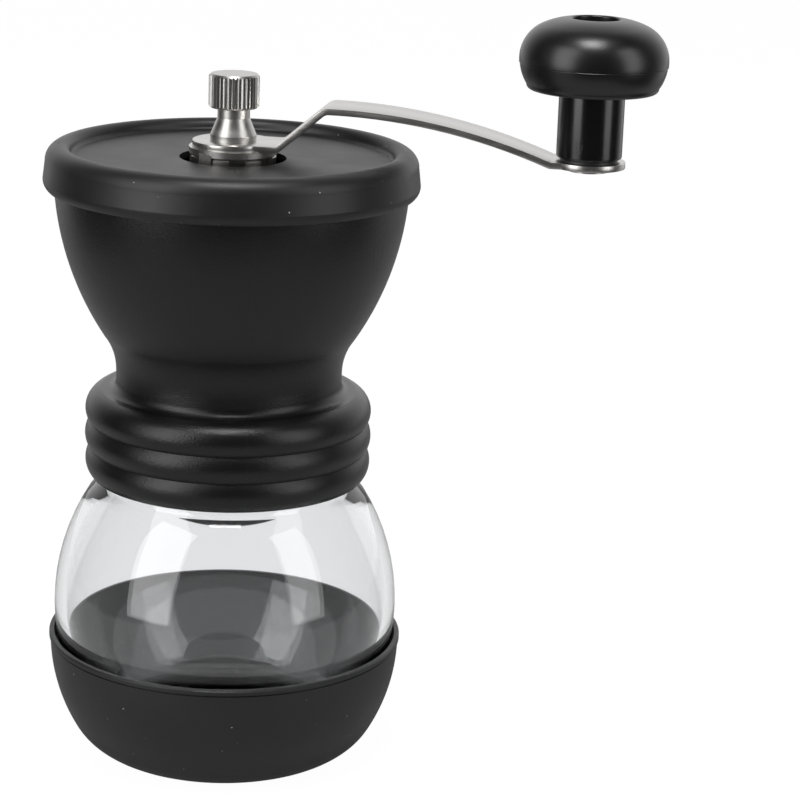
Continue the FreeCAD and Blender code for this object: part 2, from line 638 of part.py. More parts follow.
def shaft_bridge():
    """Spider of a ring, a hub and arms, dropped on to the ledge inside the hopper's rim."""
    body = new_body("shaft_bridge", LEDGE)
    hub_radius = f"({BUSH} + close_fit + bridge_hub_wall)"
    hub = new_sketch(body, "hub", "XY_Plane", "-bridge_hub_drop")
    circle(hub, hub_radius)
    circle(hub, f"{BUSH} + close_fit")
    pad(body, "hub_pad", hub, "bridge_hub_drop + bridge_height")
    arm = new_sketch(body, "arm", "XY_Plane", "-bridge_arm_drop", "90")
    rectangle(arm, f"{hub_radius} - bridge_arm_root", "-bridge_arm_width / 2",
              f"{LEDGE_BORE} - bridge_overhang / 2", "bridge_arm_width / 2")
    polar(body, "arms", pad(body, "arm_pad", arm, "bridge_arm_drop + bridge_height"), "bridge_arms")
    rim = new_sketch(body, "rim", "XY_Plane")
    circle(rim, f"{RIM_BORE} - loose_fit")
    circle(rim, f"{LEDGE_BORE} - bridge_overhang")
    body.Tip = pad(body, "rim_pad", rim, "bridge_height")
    return body


def bridge_bush():
    """Flanged bush in the bridge's hub."""
    body = new_body("bridge_bush", SPRING_ROOF)
    length = "(bridge_hub_drop + bridge_height)"
    bore = "shaft_radius + running_fit"
    revolve(body, [
        (bore, "0"),
        (BUSH, "0"),
        (BUSH, length),
        (f"{BUSH} + bush_flange_width", length),
        (f"{BUSH} + bush_flange_width", f"{length} + bush_flange"),
        (bore, f"{length} + bush_flange"),
    ])
    return body


def outer_burr():
    """Ceramic ring whose bore widens downward and carries slanted saw teeth."""
    body = new_body("outer_burr", BURR_BASE)
    revolve(body, [
        ("outer_burr_exit", "0"),
        (OUTER_BURR, "0"),
        (OUTER_BURR, "outer_burr_height"),
        (OUTER_MOUTH, "outer_burr_height"),
    ])
    turn = "(360 / outer_teeth * outer_tooth_share)"

    def saw(bore, depth):
        inside = f"({bore} - cut_overrun)"
        return [(f"{bore} + {depth}", "0"), (f"{bore} * cos({turn})", f"{bore} * sin({turn})"),
                (f"{inside} * cos({turn})", f"{inside} * sin({turn})"), (inside, "0")]

    groove = groove_loft(
        body, "tooth",
        ("-cut_overrun", "0", saw("outer_burr_exit", "outer_tooth_fine")),
        ("outer_burr_height + cut_overrun", "outer_tooth_skew", saw(OUTER_MOUTH, "outer_tooth_deep")))
    polar(body, "teeth", groove, "outer_teeth")
    return body


def inner_burr():
    """Ceramic cone with slanted flutes that draw the beans down, and fine teeth round its lower band. The
    band runs along the outer burr's bore."""
    body = new_body("inner_burr", BURR_BASE)
    bore = f"({CARRIER} + close_fit)"
    top = f"({CARRIER} + inner_burr_wall)"
    revolve(body, [
        (bore, "0"),
        (INNER_BURR, "0"),
        (f"{INNER_BURR} - outer_burr_taper * inner_burr_band / outer_burr_height", "inner_burr_band"),
        (top, "inner_burr_height"),
        (bore, "inner_burr_height"),
    ])

    def notch(radius, depth, width, overrun="cut_overrun"):
        outside = f"({radius} + {overrun})"
        return [(f"{radius} - {depth}", "0"), (outside, "0"), (outside, width)]

    def flute_notch(radius, depth, width):
        spread = f"({width} * ({depth} + inner_flute_overrun) / {depth})"
        return notch(radius, depth, spread, "inner_flute_overrun")

    flute = groove_loft(
        body, "flute",
        ("-cut_overrun", "0", flute_notch(INNER_BURR, "inner_flute_fine", "inner_flute_foot")),
        ("inner_burr_height + cut_overrun", "-inner_flute_skew", flute_notch(top, "inner_flute_deep", "inner_flute_head")))
    polar(body, "flutes", flute, "inner_flutes")
    width = f"(2 * {INNER_BURR} * sin(180 / inner_teeth) * inner_tooth_share)"
    tooth = groove_loft(
        body, "tooth",
        ("-cut_overrun", "180 / inner_teeth", notch(INNER_BURR, "inner_tooth", width)),
        ("inner_tooth_height", "180 / inner_teeth - inner_tooth_skew", notch(INNER_BURR, "inner_tooth_end", width)))
    polar(body, "teeth", tooth, "inner_teeth")
    slot = new_sketch(body, "slot", "XY_Plane", "inner_burr_height")
    rectangle(slot, f"-{CARRIER_FLANGE} - close_fit", "-carrier_lug_width / 2 - close_fit",
              f"{CARRIER_FLANGE} + close_fit", "carrier_lug_width / 2 + close_fit")
    body.Tip = pocket(body, "slot_cut", slot, "carrier_lug_depth + close_fit")
    return body


def burr_carrier():
    """Sleeve with a flange and two lugs that drive the inner burr."""
    sleeve = "(inner_burr_height - carrier_short)"
    body = new_body("burr_carrier", f"{BURR_BASE} + carrier_short")
    bore = "(shaft_radius + close_fit)"
    revolve(body, [
        (bore, "0"),
        (CARRIER, "0"),
        (CARRIER, sleeve),
        (CARRIER_FLANGE, sleeve),
        (CARRIER_FLANGE, f"{sleeve} + carrier_flange"),
        (bore, f"{sleeve} + carrier_flange"),
    ])
    lug = new_sketch(body, "lug", "XY_Plane", f"{sleeve} - carrier_lug_depth")
    rectangle(lug, f"{CARRIER} - carrier_lug_root", "-carrier_lug_width / 2",
              f"{CARRIER_FLANGE} - carrier_lug_inset", "carrier_lug_width / 2")
    polar(body, "lugs", pad(body, "lug_pad", lug, "carrier_lug_depth"), "2")
    return body


def burr_nut():
    """Hexagon nut on the shaft's lower thread."""
    body = new_body("burr_nut", f"{SHAFT_BASE} + shaft_tail")
    bore = "(shaft_radius + close_fit)"
    corner = f"(({bore} + burr_nut_wall) / cos(30))"
    sketch = new_sketch(body, "hexagon", "XY_Plane")
    outline(sketch, [(f"{corner} * cos({60 * side + 30})", f"{corner} * sin({60 * side + 30})")
                     for side in range(6)])
    circle(sketch, bore)
    pad(body, "hexagon_pad", sketch, "burr_nut_height")
    return body


def burr_retainer():
    """Ring that holds the outer burr up, with finger notches in its bore."""
    bore = f"({OUTER_BURR} - retainer_overlap)"
    body = ring("burr_retainer", f"{BURR_BASE} - retainer_thickness", bore, RETAINER, "retainer_thickness")
    notch = new_sketch(body, "notch", "XY_Plane", "retainer_thickness", "30")
    circle(notch, "retainer_notch_radius", bore)
    polar(body, "notches", pocket(body, "notch_cut", notch), "retainer_notches")
    return body


def drive_shaft():
    """Stepped shaft: burr end, thick middle, journal, flats for the crank and a stud for the thumb nut."""
    body = new_body("drive_shaft", SHAFT_BASE)
    thick = "(shaft_radius + shaft_step)"
    thick_top = f"({SPRING_SEAT} - {SHAFT_BASE})"
    journal_top = f"({ADJUST_TOP} - {SHAFT_BASE})"
    key = "(lock_thickness + arm_thickness - key_recess)"
    revolve(body, [
        ("0", "0"),
        ("shaft_radius", "0"),
        ("shaft_radius", SHOULDER),
        (thick, SHOULDER),
        (thick, thick_top),
        ("shaft_radius", thick_top),
        ("shaft_radius", journal_top),
        ("0", journal_top),
    ])
    flats = new_sketch(body, "flats", "XY_Plane", journal_top)
    flatted(flats)
    pad(body, "flats_pad", flats, key)
    stud = new_sketch(body, "stud", "XY_Plane", f"{journal_top} + {key}")
    circle(stud, STUD)
    pad(body, "stud_pad", stud, "stud_length")
    return body


def burr_spring():
    """Open coil of round wire. Its middle line is a helix in quarter turns, each of two arcs that share
    their tangents with the helix."""
    radius = number(SPRING)
    wire = number("spring_wire")
    low = number(f"{SPRING_SEAT} + spring_washer_thickness + spring_wire / 2 + close_fit / 2")
    high = number(f"{SPRING_ROOF} - spring_washer_thickness - spring_wire / 2 - close_fit / 2")
    quarters = 4 * int(number("spring_turns"))
    climb = (high - low) / quarters

    def on_helix(step):
        angle = step * math.pi / 2
        place = FreeCAD.Vector(radius * math.cos(angle), radius * math.sin(angle), low + climb * step)
        along = FreeCAD.Vector(-math.sin(angle), math.cos(angle), climb / (radius * math.pi / 2)).normalize()
        return place, along

    def arc_along(start, along, end):
        chord = end - start
        unit = FreeCAD.Vector(chord).normalize()
        bulge = along - unit * along.dot(unit)
        angle = along.getAngle(chord)
        middle = start + chord * 0.5 + bulge.normalize() * (chord.Length / 2 * math.tan(angle / 2))
        return Part.Arc(start, middle, end).toShape()

    edges = []
    for step in range(quarters):
        start, leaving = on_helix(step)
        end, arriving = on_helix(step + 1)
        span = end - start
        bend = 2 * (1 - leaving.dot(arriving))
        pull = span.dot(leaving + arriving)
        reach = (math.sqrt(pull * pull + bend * span.dot(span)) - pull) / bend
        joint = (start + end + (leaving - arriving) * reach) * 0.5
        edges.append(arc_along(start, leaving, joint))
        edges.append(arc_along(end, arriving * -1, joint))
    path = Part.Wire(Part.__sortEdges__(edges))
    place, along = on_helix(0)
    section = Part.Wire([Part.Circle(place, along, wire / 2).toShape()])
    body = document.addObject("Part::Feature", "burr_spring")
    body.Label = "burr_spring"
    body.Shape = path.makePipeShell([section], True, False)
    print("spring: gap between turns", round(4 * climb - wire, 2), "mm")
    return body


def adjust_nut():
    """Round nut with notches for the lock ring's tab."""
    body = new_body("adjust_nut", BUSH_TOP)
    bore = "shaft_radius + close_fit"
    revolve(body, [
        (bore, "0"),
        ("adjust_radius", "0"),
        ("adjust_radius", f"{ADJUST_HEIGHT} - adjust_chamfer"),
        ("adjust_radius - adjust_chamfer", ADJUST_HEIGHT),
        (bore, ADJUST_HEIGHT),
    ])
    notch = new_sketch(body, "notch", "XY_Plane", ADJUST_HEIGHT, "tab_angle")
    rectangle(notch, f"{LOCK} - lock_thickness - tab_room", "-tab_width / 2 - tab_room",
              "adjust_radius + cut_overrun", "tab_width / 2 + tab_room")
    polar(body, "notches", pocket(body, "notch_cut", notch, f"{TAB_DROP} + tab_room"), "adjust_notches")
    return body


def lock_ring():
    """Sheet ring keyed to the shaft, with one tab bent down into a notch of the adjusting nut."""
    body = new_body("lock_ring", ADJUST_TOP)
    sheet_ring = new_sketch(body, "sheet", "XY_Plane")
    circle(sheet_ring, LOCK)
    flatted(sheet_ring, "close_fit")
    pad(body, "sheet_pad", sheet_ring, "lock_thickness")
    tab = new_sketch(body, "tab", "XY_Plane", "lock_thickness / 2", "tab_angle")
    rectangle(tab, f"{LOCK} - lock_thickness", "-tab_width / 2", LOCK, "tab_width / 2")
    pad(body, "tab_pad", tab, f"{TAB_DROP} + lock_thickness / 2", downward=True)
    return body


def crank_arm():
    """Bent strip: a flat eye, a short rise, a long gentle arch and a round end for the knob."""
    body = new_body("crank_arm", ARM_BASE)
    half = "tan(arm_angle / 2)"
    outer_bend = "(arm_bend + arm_thickness)"
    inner_run = f"(arm_bend * {half})"
    outer_run = f"({outer_bend} * {half})"
    corner = "(arm_flat + (arm_rise - arm_thickness) / tan(arm_angle))"
    peak = f"({corner} + {outer_run})"
    slant = ("arm_thickness * sin(arm_angle)", "arm_thickness * cos(arm_angle)")
    foot = (f"(arm_flat + {inner_run} * cos(arm_angle))", f"(arm_thickness + {inner_run} * sin(arm_angle))")
    brow = (f"({corner} - {outer_run} * cos(arm_angle))", f"(arm_rise - {outer_run} * sin(arm_angle))")
    end_top = "(arm_thickness - arm_drop)"
    arch_run = f"(crank_radius - {STEM} - arm_end_room - {peak})"
    arch = tangent_radius(arch_run, f"arm_rise - {end_top}", "0")
    # The last bend rolls on the arch's upper side and on the flat end
    bend_rise = f"({end_top} + arm_end_bend - arm_rise + {arch})"
    bend_run = f"sqrt(({arch} + arm_end_bend)^2 - {bend_rise}^2)"
    bend_end = f"({peak} + {bend_run})"

    def bend_start(drop):
        share = f"(({arch} - {drop}) / ({arch} + arm_end_bend))"
        return f"{peak} + {bend_run} * {share}", f"arm_rise - {arch} + {bend_rise} * {share}"

    tail = "-eye_radius - cut_overrun"
    tip = f"crank_radius + {DISC} + cut_overrun"
    strip = new_sketch(body, "strip")
    outline(strip, [
        (tail, "0"),
        (f"arm_flat - {inner_run}", "0"),
        (f"{foot[0]} + {slant[0]}", f"{foot[1]} - {slant[1]}", outer_bend, LEFT),
        (f"{brow[0]} + {slant[0]}", f"{brow[1]} - {slant[1]}"),
        (peak, "arm_rise - arm_thickness", "arm_bend", RIGHT),
        (*bend_start("arm_thickness"), f"{arch} - arm_thickness", RIGHT),
        (bend_end, "-arm_drop", "arm_end_bend + arm_thickness", LEFT),
        (tip, "-arm_drop"),
        (tip, end_top),
        (bend_end, end_top),
        (*bend_start("0"), "arm_end_bend", RIGHT),
        (peak, "arm_rise", arch, LEFT),
        (*brow, outer_bend, LEFT),
        foot,
        (f"arm_flat - {inner_run}", "arm_thickness", "arm_bend", RIGHT),
        (tail, "arm_thickness"),
    ])
    strip_pad = pad(body, "strip_pad", strip, f"2 * (eye_radius + {DISC})")
    strip_pad.SideType = "Symmetric"
    above = "arm_rise + cut_overrun"
    side = f"(eye_radius + {DISC} + cut_overrun)"
    root = "(eye_radius - arm_root_inset)"
    tip_half = f"({DISC} - arm_tip_inset)"
    eye_end = f"sqrt(eye_radius^2 - {root}^2)"
    disc_start = f"(crank_radius - sqrt({DISC}^2 - {tip_half}^2))"
    plan = new_sketch(body, "plan", "XY_Plane", above)
    rectangle(plan, f"{tail} - cut_overrun", f"-{side}", f"{tip} + cut_overrun", side)
    outline(plan, [
        (disc_start, f"-{tip_half}"),
        (f"crank_radius + {DISC}", "0", DISC, LEFT),
        (disc_start, tip_half, DISC, LEFT),
        (eye_end, root),
        ("-eye_radius", "0", "eye_radius", LEFT),
        (eye_end, f"-{root}", "eye_radius", LEFT),
    ])
    pocket(body, "plan_cut", plan)
    holes = new_sketch(body, "holes", "XY_Plane", above)
    flatted(holes, "close_fit")
    circle(holes, "axle_radius - axle_step + close_fit", "crank_radius")
    pocket(body, "holes_cut", holes)
    return body


def thumb_nut():
    """Turned nut: a foot, a cone, a neck and a fluted head, bored for the stud."""
    body = new_body("thumb_nut", NUT_BASE)
    bore = f"{STUD} + running_fit"
    foot = f"({NUT_NECK} + nut_foot_rim)"
    head = f"({NUT_NECK} + nut_head_rim)"
    cone_top = "(nut_foot_height + nut_cone)"
    neck_top = f"({cone_top} + nut_neck)"
    revolve(body, [
        (bore, "0"),
        (foot, "0"),
        (foot, "nut_foot_height"),
        (NUT_NECK, cone_top),
        (NUT_NECK, neck_top),
        (f"{head} - nut_chamfer", neck_top),
        (head, f"{neck_top} + nut_chamfer"),
        (head, f"{NUT_HEIGHT} - nut_chamfer"),
        (f"{head} - nut_chamfer", NUT_HEIGHT),
        ("0", NUT_HEIGHT),
        ("0", NUT_BORE),
        (bore, NUT_BORE),
    ])
    flute = new_sketch(body, "flute", "XY_Plane", NUT_HEIGHT)
    turn = "(180 / nut_flutes * nut_flute_share)"
    edge = f"({head} / cos({turn}))"
    outline(flute, [(f"{head} - nut_flute_depth", "0"), (head, f"-{edge} * sin({turn})"),
                    (head, f"{edge} * sin({turn})")])
    polar(body, "flutes", pocket(body, "flute_cut", flute, f"{NUT_HEIGHT} - {neck_top}"), "nut_flutes")
    return body


def knob_axle():
    """Post riveted through the crank's round end, tapped for the screw."""
    body = new_body("knob_axle", f"{DISC_TOP} - arm_thickness - axle_head", "crank_radius")
    tenon = "(axle_radius - axle_step)"
    shoulder = "(axle_head + arm_thickness)"
    top = f"({AXLE_TOP} - {DISC_TOP} + {shoulder})"
    hole = "screw_radius + close_fit"
    revolve(body, [
        ("0", "0"),
        (f"{tenon} + axle_head_rim", "0"),
        (f"{tenon} + axle_head_rim", "axle_head"),
        (tenon, "axle_head"),
        (tenon, shoulder),
        ("axle_radius", shoulder),
        ("axle_radius", top),
        (hole, top),
        (hole, f"{top} - screw_length - loose_fit"),
        ("0", f"{top} - screw_length - loose_fit"),
    ])
    return body


def knob_stem():
    """Sleeve that turns on the axle, with a spigot for the dome."""
    body = new_body("knob_stem", STEM_BASE, "crank_radius")
    revolve(body, [
        (AXLE_BORE, "0"),
        (f"{STEM} - stem_round", "0"),
        (STEM, "stem_round", "stem_round", LEFT),
        (STEM, "stem_height"),
        (SPIGOT, "stem_height"),
        (SPIGOT, "stem_height + spigot_height"),
        (AXLE_BORE, "stem_height + spigot_height"),
    ])
    return body


def knob_dome():
    """Mushroom dome, rounded below and above its widest place and flatter on top, with a hole down to the screw."""
    body = new_body("knob_dome", DOME_BASE, "crank_radius")
    socket = f"({SPIGOT} + close_fit)"
    foot = f"({STEM} + dome_foot_rim)"
    floor = "(dome_height - dome_hole_depth)"
    hole = f"({SCREW_WASHER} + dome_hole_room)"
    rim = f"({hole} + dome_hole_round)"
    brow = (f"({foot} + dome_flare - dome_arc * (1 - cos(dome_arc_sweep)))",
            "(dome_seam + dome_arc * sin(dome_arc_sweep))")
    revolve(body, [
        (socket, "0"),
        (f"{foot} - dome_edge_round", "0"),
        (foot, "dome_edge_round", "dome_edge_round", LEFT),
        (f"{foot} + dome_flare", "dome_seam", tangent_radius("dome_flare", "dome_seam - dome_edge_round", "90"), LEFT),
        (*brow, "dome_arc", LEFT),
        (rim, "dome_height",
         tangent_radius(f"{brow[0]} - {rim}", f"dome_height - {brow[1]}", "90 - dome_arc_sweep"), LEFT),
        (hole, "dome_height - dome_hole_round", "dome_hole_round", LEFT),
        (hole, floor),
        (AXLE_BORE, floor),
        (AXLE_BORE, "spigot_height + close_fit"),
        (socket, "spigot_height + close_fit"),
    ])
    return body


def knob_screw():
    """Round-headed screw with a cross recess."""
    body = new_body("knob_screw", f"{AXLE_TOP} + screw_washer_thickness", "crank_radius")
    head = "(screw_radius + screw_head_rim)"
    shank = "(screw_length + screw_washer_thickness)"
    revolve(body, [
        ("0", f"-{shank}"),
        ("screw_radius", f"-{shank}"),
        ("screw_radius", "0"),
        (head, "0"),
        (head, "screw_head / 2"),
        ("0", "screw_head", tangent_radius(head, "screw_head / 2", "0"), LEFT),
    ])
    slot = new_sketch(body, "slot", "XY_Plane", "screw_head")
    rectangle(slot, "0", "-screw_slot / 2", "screw_recess_radius", "screw_slot / 2")
    polar(body, "cross", pocket(body, "slot_cut", slot, "screw_recess_depth"), "4")
    return body


def build_pieces():
    """Make every piece, from the cup up to the knob."""
    washer_bore = "shaft_radius + close_fit"
    return [
        base_cup(),
        glass_jar(),
        hopper_body(),
        shaft_bridge(),
        bridge_bush(),
        outer_burr(),
        burr_retainer(),
        hopper_lid(),
        drive_shaft(),
        ring("spring_washer_upper", f"{SPRING_ROOF} - spring_washer_thickness", washer_bore,
             SPRING_WASHER, "spring_washer_thickness"),
        burr_spring(),
        ring("spring_washer_lower", SPRING_SEAT, washer_bore, SPRING_WASHER, "spring_washer_thickness"),
        burr_carrier(),
        inner_burr(),
        ring("burr_washer", f"{BURR_BASE} - burr_washer_thickness", washer_bore,
             f"{CARRIER} + burr_washer_edge", "burr_washer_thickness"),
        burr_nut(),
        adjust_nut(),
        lock_ring(),
        crank_arm(),
        thumb_nut(),
        knob_axle(),
        ring("knob_washer", DISC_TOP, "axle_radius + close_fit", f"{STEM} - knob_washer_inset",
             "knob_washer_thickness", "crank_radius"),
        knob_stem(),
        knob_dome(),
        ring("knob_screw_washer", AXLE_TOP, "screw_radius + close_fit", SCREW_WASHER,
             "screw_washer_thickness", "crank_radius"),
        knob_screw(),
    ]


def check(pieces):
    """Stop if any object failed or any piece isn't one valid solid."""
    for item in document.Objects:
        if "Invalid" in item.State or "Error" in item.State:
            raise RuntimeError(f"{item.Name} failed: {item.State}")
    for piece in pieces:
        shape = piece.Shape
        if shape.isNull() or not shape.isValid() or len(shape.Solids) != 1:
            raise RuntimeError(f"{piece.Label} isn't one valid solid")


def export(pieces):
    """Write each piece to its own file."""
    os.makedirs("parts", exist_ok=True)
    for piece in pieces:
        piece.Shape.exportStep(os.path.join("parts", f"{piece.Label}.step"))
        box = piece.Shape.BoundBox
        print(f"{piece.Label}: {piece.Shape.Volume:.0f} mm3, z {box.ZMin:.2f} to {box.ZMax:.2f}, "
              f"x {box.XMin:.2f} to {box.XMax:.2f}")


fill_sheet()
all_pieces = build_pieces()
document.recompute()
check(all_pieces)
export(all_pieces)
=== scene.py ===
"""Looks of a hand crank coffee grinder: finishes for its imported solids, and finer pieces where the eye rests."""
import math

import bmesh
import bpy
from mathutils import Matrix, Vector


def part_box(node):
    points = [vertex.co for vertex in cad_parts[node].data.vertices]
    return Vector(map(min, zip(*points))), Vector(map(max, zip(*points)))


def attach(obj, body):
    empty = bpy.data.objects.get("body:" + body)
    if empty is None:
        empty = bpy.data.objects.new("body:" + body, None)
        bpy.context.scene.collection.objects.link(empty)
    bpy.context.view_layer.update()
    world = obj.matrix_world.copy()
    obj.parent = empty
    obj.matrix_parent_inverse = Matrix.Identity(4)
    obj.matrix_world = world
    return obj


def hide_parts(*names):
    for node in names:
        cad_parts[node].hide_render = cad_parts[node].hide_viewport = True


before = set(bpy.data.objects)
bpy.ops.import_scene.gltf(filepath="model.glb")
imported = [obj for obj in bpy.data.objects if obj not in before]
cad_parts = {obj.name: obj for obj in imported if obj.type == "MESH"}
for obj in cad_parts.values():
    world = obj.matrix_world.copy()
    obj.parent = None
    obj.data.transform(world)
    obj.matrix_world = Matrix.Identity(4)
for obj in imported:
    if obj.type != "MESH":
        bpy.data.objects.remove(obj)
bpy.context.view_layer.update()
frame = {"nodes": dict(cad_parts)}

bl_info = {
    "name": "Coffee grinder dress",
    "version": (1, 0, 0),
    "blender": (4, 5, 0),
    "location": "View3D > Sidebar > Grinder",
    "description": "Dresses the solids of a hand crank coffee grinder in glass, rubber, plastic, steel and ceramic",
    "category": "Object",
}

MM = 0.001
LEFT, RIGHT = 1, -1
KNOB_X = sum(corner.x for corner in map(Vector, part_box("knob_stem"))) / 2
STEM_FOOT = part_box("knob_stem")[0][2]
DOME_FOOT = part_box("knob_dome")[0][2]
JAR_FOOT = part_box("glass_jar")[0][2]
NECK_RADIUS = 32.6
STEM_RADIUS = 8.2
POST_BORE = 4.08
MERGE = 0.002 * MM


def linear(hex_colour):
    """Turn an sRGB hex colour into linear red, green and blue."""
    parts = [int(hex_colour[i:i + 2], 16) / 255 for i in (1, 3, 5)]
    return tuple(c / 12.92 if c <= 0.04045 else ((c + 0.055) / 1.055) ** 2.4 for c in parts)


def per_mm(size):
    """Scale of a pattern whose features are so many millimetres wide."""
    return 1 / (size * MM)


def add(tree, kind, values, links=()):
    """Add a node, set its values, and join its sockets to other nodes' outputs."""
    made = tree.nodes.new(kind)
    for key, value in values.items():
        if isinstance(key, int) or key in made.inputs:
            made.inputs[key].default_value = value
        else:
            setattr(made, key, value)
    for key, source in dict(links).items():
        tree.links.new(source, made.inputs[key])
    return made


def start_material(name):
    """An empty material with its output and the piece's own coordinates."""
    material = bpy.data.materials.new(name)
    material.use_nodes = True
    tree = material.node_tree
    tree.nodes.clear()
    output = add(tree, "ShaderNodeOutputMaterial", {})
    place = add(tree, "ShaderNodeTexCoord", {}).outputs["Object"]
    return material, tree, output, place


def math_of(tree, operation, *terms):
    """Put numbers or sockets through one operation."""
    numbers = {at: term for at, term in enumerate(terms) if isinstance(term, (int, float))}
    sockets = {at: term for at, term in enumerate(terms) if at not in numbers}
    return add(tree, "ShaderNodeMath", {"operation": operation, **numbers}, sockets).outputs[0]


def noise(tree, place, scale, **values):
    """A cloudy pattern."""
    return add(tree, "ShaderNodeTexNoise", {"Scale": scale, **values}, {"Vector": place}).outputs["Fac"]


def spread(tree, value, low, high, start=0.0, stop=1.0):
    """Stretch a value that runs from start to stop, so that it runs from low to high."""
    return add(tree, "ShaderNodeMapRange", {"From Min": start, "From Max": stop, "To Min": low, "To Max": high},
               {"Value": value}).outputs["Result"]


def tinted(tree, colour, tone):
    """A colour made darker and lighter by a pattern."""
    return add(tree, "ShaderNodeMix", {"data_type": "RGBA", "blend_type": "MULTIPLY", 0: 1.0, 6: (*colour, 1)},
               {7: tone}).outputs[2]


def relief(tree, height, strength, depth):
    """A bump by a pattern, so many millimetres deep."""
    return add(tree, "ShaderNodeBump", {"Strength": strength, "Distance": depth * MM},
               {"Height": height}).outputs["Normal"]


def cover(tree, output, values, base, rough, normal):
    """Shade the surface with a pattern of colour, of roughness and of bump."""
    shader = add(tree, "ShaderNodeBsdfPrincipled", values,
                 {"Base Color": base, "Roughness": rough, "Normal": normal})
    tree.links.new(shader.outputs[0], output.inputs["Surface"])


def moulded_silicone(colour, dust_colour, dust_spacing):
    """Compression-moulded silicone rubber: soft and matt with a grey bloom, and dust that clings to it."""
    material, tree, output, place = start_material("silicone_rubber_moulded")
    specks = add(tree, "ShaderNodeTexVoronoi", {"Scale": per_mm(dust_spacing)}, {"Vector": place})
    chance = add(tree, "ShaderNodeSeparateColor", {}, {"Color": specks.outputs["Color"]}).outputs
    widest, share = 0.08, 0.5
    reach = math_of(tree, "MULTIPLY", chance["Red"], widest)
    rare = math_of(tree, "GREATER_THAN", chance["Green"], share)
    near = math_of(tree, "LESS_THAN", specks.outputs["Distance"], reach)
    faint = math_of(tree, "MULTIPLY", math_of(tree, "MULTIPLY", rare, near), chance["Blue"])
    bloom = noise(tree, place, per_mm(14), Detail=4.0, Roughness=0.6)
    body = tinted(tree, colour, spread(tree, bloom, low=0.85, high=1.25))
    dusty = add(tree, "ShaderNodeMix", {"data_type": "RGBA", 7: (*dust_colour, 1)}, {0: faint, 6: body})
    # The mould's own texture is finer than a pixel, so it is drawn at 0.45 mm to show
    skin = noise(tree, place, per_mm(0.45), Detail=2.0)
    cover(tree, output, {"IOR": 1.41, "Specular IOR Level": 0.78}, dusty.outputs[2],
          spread(tree, bloom, low=0.36, high=0.52), relief(tree, skin, strength=0.12, depth=0.1))
    return material


def grained_polypropylene(colour, grain):
    """Polypropylene from a spark-eroded mould: a fine leathery grain that breaks each highlight into sparkle."""
    material, tree, output, place = start_material("polypropylene_grained")
    cells = add(tree, "ShaderNodeTexVoronoi", {"feature": "SMOOTH_F1", "Scale": per_mm(grain)}, {"Vector": place})
    fine = noise(tree, place, per_mm(grain * 0.6), Detail=3.0)
    # The mould's halves meet on a plane through the axis, where a hair line runs down the outside
    halved = add(tree, "ShaderNodeMapping", {"Rotation": (0, 0, math.radians(-18))}, {"Vector": place})
    plane = add(tree, "ShaderNodeSeparateXYZ", {}, {"Vector": halved.outputs["Vector"]})
    hair = 0.1 * MM
    line = math_of(tree, "LESS_THAN", math_of(tree, "ABSOLUTE", plane.outputs["X"]), hair)
    leather = math_of(tree, "ADD", cells.outputs["Distance"], fine)
    cloud = noise(tree, place, per_mm(18), Detail=3.0)
    cover(tree, output, {"IOR": 1.49, "Specular IOR Level": 0.5},
          tinted(tree, colour, spread(tree, fine, low=0.8, high=1.3)),
          spread(tree, cloud, low=0.25, high=0.35),
          relief(tree, math_of(tree, "ADD", leather, line), strength=0.5, depth=0.085))
    return material


def moulded_abs(name, colour, smooth, dull):
    """Injection-moulded ABS: even colour, with the faint flow marks and rubs that handling leaves."""
    material, tree, output, place = start_material(name)
    flow = noise(tree, place, per_mm(6), Detail=5.0, Roughness=0.65)
    skin = noise(tree, place, per_mm(0.7), Detail=2.0)
    cover(tree, output, {"IOR": 1.53, "Specular IOR Level": 0.6},
          tinted(tree, colour, spread(tree, flow, low=0.85, high=1.2)),
          spread(tree, flow, low=smooth, high=dull), relief(tree, skin, strength=0.05, depth=0.05))
    return material


def pressed_glass(colour):
    """Pressed soda-lime glass: clear and thick, with slow waves left by the mould that bend what is behind it."""
    material, tree, output, place = start_material("soda_lime_glass_pressed")
    wave = noise(tree, place, per_mm(16), Detail=1.0)
    shader = add(tree, "ShaderNodeBsdfPrincipled",
                 {"Base Color": (*colour, 1), "Roughness": 0.0, "IOR": 1.5, "Transmission Weight": 1.0},
                 {"Normal": relief(tree, wave, strength=0.05, depth=0.4)})
    tree.links.new(shader.outputs[0], output.inputs["Surface"])
    return material


def brushed_stainless(colour):
    """Stainless strip, belt-brushed along its length: fine streaks that stretch each highlight across the strip."""
    material, tree, output, place = start_material("stainless_steel_brushed")
    # Real scratches are some 0.02 mm wide, drawn at 0.18 mm so that they show
    along = add(tree, "ShaderNodeMapping", {"Scale": (per_mm(30), per_mm(0.18), per_mm(0.9))}, {"Vector": place})
    streak = noise(tree, along.outputs["Vector"], 1.0, Detail=4.0, Roughness=0.7)
    cover(tree, output, {"Metallic": 1.0}, tinted(tree, colour, spread(tree, streak, low=0.88, high=1.1)),
          spread(tree, streak, low=0.2, high=0.42), relief(tree, streak, strength=0.08, depth=0.03))
    return material


def sheared_stainless(colour):
    """Edge of the same strip as the press left it: dull, with upright tear marks."""
    material, tree, output, place = start_material("stainless_steel_sheared")
    upright = add(tree, "ShaderNodeMapping", {"Scale": (per_mm(0.5), per_mm(0.5), per_mm(3))}, {"Vector": place})
    tear = noise(tree, upright.outputs["Vector"], 1.0, Detail=5.0, Roughness=0.75)
    cover(tree, output, {"Metallic": 1.0},
          tinted(tree, colour, spread(tree, tear, low=0.1, high=0.75, start=0.3, stop=0.7)),
          spread(tree, tear, low=0.3, high=0.6), relief(tree, tear, strength=0.5, depth=0.15))
    return material


